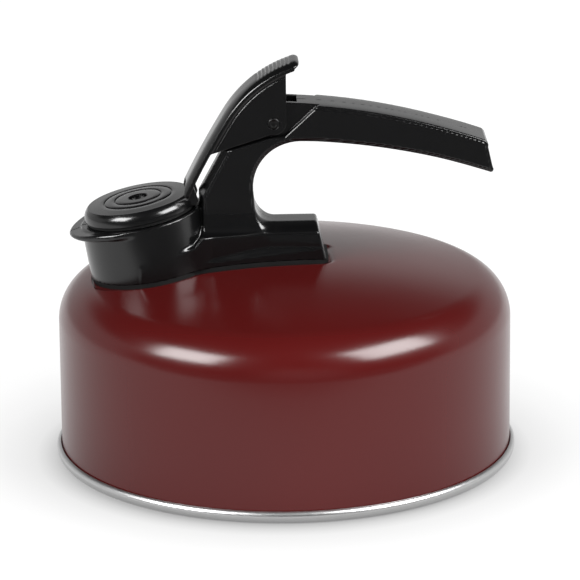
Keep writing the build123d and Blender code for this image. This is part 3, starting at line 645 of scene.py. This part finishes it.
def lathe(name, section, segments, material, body,
          place=Matrix.Identity(4), smooth_angle=30):
    """Turns a closed section of (radius, height) about the Z axis of a place."""
    rings = []
    for i in range(segments):
        turn = math.tau * i / segments
        c, s = math.cos(turn), math.sin(turn)
        rings += [place @ Vector((r * c * MM, r * s * MM, z * MM)) for r, z in section]
    count = len(section)
    faces = []
    for i in range(segments):
        here, there = i * count, (i + 1) % segments * count
        for j in range(count):
            k = (j + 1) % count
            faces.append((here + j, there + j, there + k, here + k))
    mesh = bpy.data.meshes.new(name)
    mesh.from_pydata(rings, [], faces)
    tidy_mesh(mesh)
    piece = add_object(name, mesh, material, body)
    shade(mesh, smooth_angle)
    return piece


MERGE = 1e-7


def tidy_mesh(mesh):
    """Joins points that coincide, drops empty faces and turns the faces outwards."""
    work = bmesh.new()
    work.from_mesh(mesh)
    bmesh.ops.remove_doubles(work, verts=work.verts, dist=MERGE)
    bmesh.ops.dissolve_degenerate(work, edges=work.edges, dist=MERGE)
    bmesh.ops.recalc_face_normals(work, faces=work.faces)
    work.to_mesh(mesh)
    work.free()


def shade(mesh, angle):
    """Smooth shading, with edges sharper than the angle kept crisp."""
    mesh.polygons.foreach_set("use_smooth", np.ones(len(mesh.polygons), bool))
    mesh.set_sharp_from_angle(angle=math.radians(angle))


# ---------------------------------------------------------------- drum

def crown_z(x, y, inset):
    """Height of the crown, or of its inside at an inset."""
    crown = CROWN_RADIUS - inset
    return APEX_Z - CROWN_RADIUS + np.sqrt(crown ** 2 - x * x - y * y)


def drum_profile(inset, low):
    """The bend and wall of the drum in section, from the crown's edge down."""
    bend = SHOULDER_RADIUS - inset
    angles = np.linspace(BEND_LEAN, 0, 21)
    points = [(BEND_REACH + bend * math.cos(a), BEND_Z + bend * math.sin(a)) for a in angles]
    return points + [(points[-1][0], z) for z in np.linspace(BEND_Z, low, 9)[1:]]


DRUM_AROUND, DRUM_RINGS, INSIDE_SKIP = 480, 150, 4


def drum_skin(inset):
    """Rings of points from the neck hole out over the crown and down the wall."""
    turn = np.arange(DRUM_AROUND) * math.tau / DRUM_AROUND
    wall = drum_profile(inset, FLANGE_LOW)
    edge = wall[0][0]
    hole_x = NECK_HOLE_X + NECK_HOLE_LENGTH * np.cos(turn)
    hole_y = NECK_HOLE_WIDTH * np.sin(turn)
    rings = []
    for i in range(DRUM_RINGS):
        part = i / DRUM_RINGS
        x = hole_x + part * (edge * np.cos(turn) - hole_x)
        y = hole_y + part * (edge * np.sin(turn) - hole_y)
        pressed = SEAT_DEPTH * smooth(seat_distance(x, y), SEAT_OUTER, SEAT_INNER)
        rings.append((x, y, crown_z(x, y, inset) - pressed))
    for radius, z in wall:
        rings.append((radius * np.cos(turn), radius * np.sin(turn), np.full(DRUM_AROUND, z)))
    return rings


def drum():
    """The drawn shell as one closed skin: outside, bottom flange, then inside in bare metal."""
    outer, inner = drum_skin(0), drum_skin(SHELL_THICKNESS)
    turn = np.arange(DRUM_AROUND) * math.tau / DRUM_AROUND
    lip = [(FLANGE_RADIUS * np.cos(turn), FLANGE_RADIUS * np.sin(turn), np.full(DRUM_AROUND, z))
           for z in (FLANGE_HIGH, FLANGE_LOW)]
    outer[-1] = (outer[-1][0], outer[-1][1], np.full(DRUM_AROUND, FLANGE_HIGH))
    inner = inner[::-1][:-DRUM_RINGS] + inner[::-1][-DRUM_RINGS::INSIDE_SKIP] + [inner[0]]
    rings = outer + lip + inner
    points = np.concatenate([np.stack(ring, 1) for ring in rings]) * MM
    faces, skins = [], []
    for i in range(len(rings)):
        here, there = i * DRUM_AROUND, (i + 1) % len(rings) * DRUM_AROUND
        for j in range(DRUM_AROUND):
            k = (j + 1) % DRUM_AROUND
            faces.append((here + j, here + k, there + k, there + j))
            skins.append(int(i > len(outer)))
    mesh = bpy.data.meshes.new("drum")
    mesh.from_pydata(points, [], faces)
    piece = add_object("drum", mesh, RED, "kettle")
    mesh.materials.append(BARE_METAL)
    mesh.polygons.foreach_set("material_index", skins)
    work = bmesh.new()
    work.from_mesh(mesh)
    bmesh.ops.recalc_face_normals(work, faces=work.faces)
    work.to_mesh(mesh)
    work.free()
    shade(mesh, 40)
    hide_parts("body_shell")


def base():
    """The base pan with its rolled rim."""
    under = arc((94.0, 0.0), (96.5, 0.75), (97.45, 2.7), 10)
    over = arc((97.45, 2.7), (97.1, 4.6), (95.9, 5.35), 10)
    section = [(94.0, 0.0)] + under + over + [(95.55, 4.9), (95.55, 2.9), (96.5, 2.8), (96.5, 1.5),
                              (0.0, 1.5), (0.0, 0.35), (70.0, 0.35), (71.0, 0.0)]
    piece = lathe("base_rim", section, 360, BASE_METAL, "kettle")
    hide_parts("base_pan")


# ---------------------------------------------------------------- lid and pin

LID_PLACE = Matrix(((LID_AHEAD[0], 0, LID_AXIS[0], LID_TOP[0] * MM),
                    (0, 1, 0, 0),
                    (LID_AHEAD[2], 0, LID_AXIS[2], LID_TOP[2] * MM),
                    (0, 0, 0, 1)))


DOME_DROP, DOME_RADIUS = 0.9, 22.0
LID_RINGS = (9.87, 14.45)
LID_GROOVE = ((-0.55, 0), (-0.38, 0.08), (-0.28, 0.5), (0.28, 0.5), (0.38, 0.08), (0.55, 0))


def lid_cap():
    """The domed lid with its two groove rings, steam hole, skirt and whistle socket."""
    def dome(radius):
        return -DOME_DROP * (radius / DOME_RADIUS) ** 2

    top = [(4.3, -0.02), (7.0, dome(7.0))]
    for ring in LID_RINGS:
        for step, depth in LID_GROOVE:
            top.append((ring + step, dome(ring + step) - depth))
        top.append((ring + 2.2, dome(ring + 2.2)))
    top += [(19.0, dome(19.0)), (21.3, dome(21.3))]
    top += arc((21.3, dome(21.3)), (21.7, -0.93), (21.95, -1.17), 4)
    top += arc((21.95, -1.17), (23.2, -2.76), (23.74, -4.7), 9)
    section = top + [(23.74, -5.8), (23.4, -6.1), (21.2, -6.1), (21.2, -4.0), (17.0, -4.0),
                     (17.0, -6.1), (15.4, -6.1), (15.4, -2.4), (12.6, -2.4), (12.6, -9.0),
                     (10.6, -9.0), (10.6, -2.4), (4.0, -2.4), (4.0, -0.3)]
    lathe("lid_cap", section, 192, BLACK, "lid", LID_PLACE, 38)


def pin():
    """The hinge pin, its near head a shallow dish with a raised ring."""
    near = [(0.0, 10.25), (1.35, 10.25), (1.6, 10.5), (1.95, 10.5), (2.35, 10.2), (2.4, 9.9),
            (2.4, 8.2), (2.0, 8.1)]
    section = near + [(2.0, -9.9), (1.7, -10.2), (0.0, -10.2)]
    place = Matrix(((1, 0, 0, PIN[0] * MM), (0, 0, -1, 0), (0, 1, 0, PIN[1] * MM), (0, 0, 0, 1)))
    piece = lathe("pin", section, 64, PIN_METAL, "lid", place, 50)
    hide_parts("hinge_pin")


SPRING_COIL, SPRING_WIRE, SPRING_PITCH, SPRING_HALF = 3.3, 0.6, 1.5, 3.75
SPRING_LEAN = math.radians(30)
SPRING_LEG, SPRING_FOOT = 15.6, 5.4
WIRE_SIDES = 12


def wire(name, path, body):
    """A round spring wire along a path that never runs along Y."""
    path = np.array(path)
    ahead = np.gradient(path, axis=0)
    ahead /= np.linalg.norm(ahead, axis=1, keepdims=True)
    across = np.array([0, 1, 0]) - ahead * ahead[:, 1:2]
    across /= np.linalg.norm(across, axis=1, keepdims=True)
    third = np.cross(ahead, across)
    turn = np.arange(WIRE_SIDES)[None, :, None] * math.tau / WIRE_SIDES
    ring = across[:, None] * np.cos(turn) + third[:, None] * np.sin(turn)
    points = (path[:, None] + SPRING_WIRE * ring).reshape(-1, 3)
    faces = [tuple(range(WIRE_SIDES)), tuple(range(len(points) - WIRE_SIDES, len(points)))]
    for i in range(len(path) - 1):
        for j in range(WIRE_SIDES):
            k = (j + 1) % WIRE_SIDES
            here, there = i * WIRE_SIDES, (i + 1) * WIRE_SIDES
            faces.append((here + j, here + k, there + k, there + j))
    mesh = bpy.data.meshes.new(name)
    mesh.from_pydata(points * MM, [], faces)
    tidy_mesh(mesh)
    piece = add_object(name, mesh, BARE_METAL, body)
    shade(mesh, 50)
    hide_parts("torsion_spring")


def spring():
    """The closing spring: its coil stays on the pin and its upper leg turns with the lever."""
    def on_coil(angle):
        return (PIN[0] + SPRING_COIL * math.cos(angle),
                -SPRING_HALF + SPRING_PITCH * angle / math.tau,
                PIN[1] - SPRING_COIL * math.sin(angle))

    end = 2 * SPRING_HALF / SPRING_PITCH * math.tau
    coil = [on_coil(angle) for angle in np.linspace(-SPRING_LEAN, end, 160)]
    foot = [(coil[-1][0], coil[-1][1], coil[-1][2] - drop) for drop in (0.5, SPRING_FOOT)]
    wire("spring_coil", coil + foot, "kettle")
    lean, rise = math.sin(SPRING_LEAN), math.cos(SPRING_LEAN)
    leg = [(coil[0][0] - lean * part, coil[0][1], coil[0][2] + rise * part)
           for part in np.linspace(0, SPRING_LEG, 5)]
    wire("spring_leg", leg, "lid")


# ---------------------------------------------------------------- build

RED = red_lacquer()
BLACK = black_plastic()
RUBBER = black_rubber()
BASE_METAL = brushed_metal("brushed_base", 0.58, (1, 1, 30))
BARE_METAL = brushed_metal("bare_metal", 0.62, (1, 1, 8))
PIN_METAL = brushed_metal("pin_metal", 0.03, (1, 1, 8))

NODE_MATERIALS = {
    RED: ["body_shell"],
    BLACK: ["housing_near_half", "housing_far_half", "lid_lever", "whistle_cup"],
    RUBBER: ["base_seal", "neck_gasket", "housing_gasket", "sealing_washers", "lid_seal"],
    BASE_METAL: ["base_pan"],
    BARE_METAL: ["neck_tube", "clamp_plate", "mounting_screws", "handle_screws", "torsion_spring",
                 "whistle_upper_disc", "whistle_lower_disc", "whistle_spacer"],
    PIN_METAL: ["hinge_pin"],
}
for material, names in NODE_MATERIALS.items():
    for name in names:
        for slot in frame["nodes"][name].material_slots:
            slot.material = material

# The boxes that hold each moulding. At the full cell size, one plane of each half's grid
# lies just inside its parting face.
NEAR_BOX = (-92.0, -28.82, 66.0), (90.0, 1.2, 155.0)
FAR_BOX = (-92.0, -1.18, 66.0), (90.0, 29.0, 155.0)
LEVER_BOX = (-48.0, -11.5, 98.0), (9.0, 11.5, 172.0)
CELL, LEVER_CELL = ((0.6, 0.35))
for name, field, box, node in (("handle_near", near_half, NEAR_BOX, "housing_near_half"),
                               ("handle_far", far_half, FAR_BOX, "housing_far_half")):
    piece = moulded(name, field, *box, CELL, BLACK, "kettle", "black_plastic", housing)
    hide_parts(node)
piece = moulded("lever", lever, *LEVER_BOX, LEVER_CELL, BLACK, "lid", "lever_plastic")
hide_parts("lid_lever")
lid_cap()
pin()
spring()
drum()
base()


# ---------------------------------------------------------------- floor, light and camera

# The floor's own glow by distance in metres, dimmer under and close around the kettle: a painted
# contact shadow, its middle a little to the front, so the front is darker.
FLOOR_SIZE, FLOOR_TONE = 8, 0.07
SHADOW_MIDDLE = (-0.001, -0.004, 0)
SHADOW = ((0.093, 0.36), (0.099, 0.59), (0.105, 0.73), (0.111, 0.77), (0.124, 0.84), (0.15, 0.92),
          (0.5, 1.02))


def floor():
    bpy.ops.mesh.primitive_plane_add(size=FLOOR_SIZE)
    plane = bpy.context.object
    plane.name = "floor"
    m = Nodes("floor")
    m.set(Base_Color=(FLOOR_TONE, FLOOR_TONE, FLOOR_TONE, 1), Roughness=0.9,
          Emission_Strength=1.0, Specular_IOR_Level=0.0)
    # The glow dims with distance to the shadow's middle: a painted contact shadow on the floor.
    away = m.add("ShaderNodeVectorMath", operation="DISTANCE")
    away.inputs[1].default_value = SHADOW_MIDDLE
    m.link(m.place, away.inputs[0])
    tones = m.add("ShaderNodeValToRGB")
    ramp = tones.color_ramp
    ramp.elements[0].position, ramp.elements[1].position = SHADOW[0][0], SHADOW[-1][0]
    for place, _ in SHADOW[1:-1]:
        ramp.elements.new(place)
    for stop, (_, tone) in zip(ramp.elements, SHADOW):
        stop.color = (tone, tone, tone, 1)
    m.link(away.outputs["Value"], tones.inputs["Fac"])
    m.link(tones.outputs["Color"], m.shader.inputs["Emission Color"])
    plane.data.materials.append(m.material)


CARD_SIZE, CARD_EDGE, CARD_HEIGHT, CARD_TONE = 3, 0.27, 0.001, 0.02


def dark_card():
    """A black card in front of the kettle that only reflections see, as in a studio."""
    middle = (0, -CARD_SIZE / 2 - CARD_EDGE, CARD_HEIGHT)
    bpy.ops.mesh.primitive_plane_add(size=CARD_SIZE, location=middle)
    card = bpy.context.object
    card.name = "dark_card"
    m = Nodes("dark_card")
    m.set(Base_Color=(CARD_TONE, CARD_TONE, CARD_TONE, 1), Roughness=1.0)
    card.data.materials.append(m.material)
    card.visible_camera = False
    card.visible_diffuse = False
    card.visible_shadow = False


BACKDROP, STUDIO_DARK = 0.65, 0.04
BACKDROP_TOP, BACKDROP_SIDE = (0.34, 0.50), (-0.35, 0.15)


def world():
    """Dark studio overhead and in front, with a white backdrop low down behind."""
    scene_world = bpy.data.worlds.new("studio")
    bpy.context.scene.world = scene_world
    scene_world.use_nodes = True
    tree = scene_world.node_tree
    way = tree.nodes.new("ShaderNodeTexCoord").outputs["Generated"]
    split = tree.nodes.new("ShaderNodeSeparateXYZ")
    tree.links.new(way, split.inputs["Vector"])
    low_down = map_range(tree, split.outputs["Z"], BACKDROP - STUDIO_DARK, 0,
                         *BACKDROP_TOP, "SMOOTHSTEP")
    behind = map_range(tree, split.outputs["Y"], 0, 1, *BACKDROP_SIDE, "SMOOTHSTEP")
    both = tree.nodes.new("ShaderNodeMath")
    both.operation = "MULTIPLY_ADD"
    tree.links.new(low_down, both.inputs[0])
    tree.links.new(behind, both.inputs[1])
    both.inputs[2].default_value = STUDIO_DARK
    tree.links.new(both.outputs["Value"], tree.nodes["Background"].inputs["Strength"])
    tree.nodes["Background"].inputs["Color"].default_value = (1, 1, 1, 1)
    bpy.context.scene.view_settings.view_transform = "Standard"


def area_light(name, place, target, size, power):
    """A softbox at a place, turned towards a target; sizes in metres, power in watts."""
    data = bpy.data.lights.new(name, "AREA")
    data.shape = "RECTANGLE"
    data.size, data.size_y = size
    data.energy = power
    lamp = bpy.data.objects.new(name, data)
    bpy.context.scene.collection.objects.link(lamp)
    way = Vector(target) - Vector(place)
    lamp.location = place
    lamp.rotation_euler = way.to_track_quat("-Z", "Y").to_euler()
    return lamp


CAMERA_AZIMUTH = math.radians(-2.0)
CAMERA_ELEVATION = math.radians(19.291)
CAMERA_ROLL = math.radians(0.561)
CAMERA_DISTANCE = 1.755
CAMERA_LENS, CAMERA_SENSOR = 254.58, 36
AIM_RIGHT, AIM_UP = 0.00237, 0.06963


def camera():
    """A long lens aimed at the drum's upper half, with a slight roll."""
    data = bpy.data.cameras.new("camera")
    data.sensor_width = CAMERA_SENSOR
    data.lens = CAMERA_LENS
    data.clip_start = 0.05
    eye = bpy.data.objects.new("camera", data)
    bpy.context.scene.collection.objects.link(eye)
    az, el = CAMERA_AZIMUTH, CAMERA_ELEVATION
    place = CAMERA_DISTANCE * Vector(
        (math.sin(az) * math.cos(el), -math.cos(az) * math.cos(el), math.sin(el)))
    right = Vector((math.cos(az), math.sin(az), 0))
    aim = AIM_RIGHT * right + Vector((0, 0, AIM_UP))
    back = (place - aim).normalized()
    side = Vector((0, 0, 1)).cross(back).normalized()
    up = back.cross(side)
    c, s = math.cos(CAMERA_ROLL), math.sin(CAMERA_ROLL)
    side, up = c * side - s * up, s * side + c * up
    eye.matrix_world = Matrix((
        (side.x, up.x, back.x, place.x), (side.y, up.y, back.y, place.y),
        (side.z, up.z, back.z, place.z), (0, 0, 0, 1)))
    bpy.context.scene.camera = eye


floor()
world()
dark_card()
area_light("left", (-0.786, -0.548, 0.71), (-0.04, -0.08, 0.07), (0.62, 0.46), 20)
area_light("right", (0.751, -0.427, 0.775), (0.05, -0.08, 0.07), (0.74, 0.50), 23)
fill = area_light("front_fill", (0.15, -1.2, 0.22), (0, 0, 0.05), (0.8, 0.4), 16)
fill.visible_glossy = False
camera()
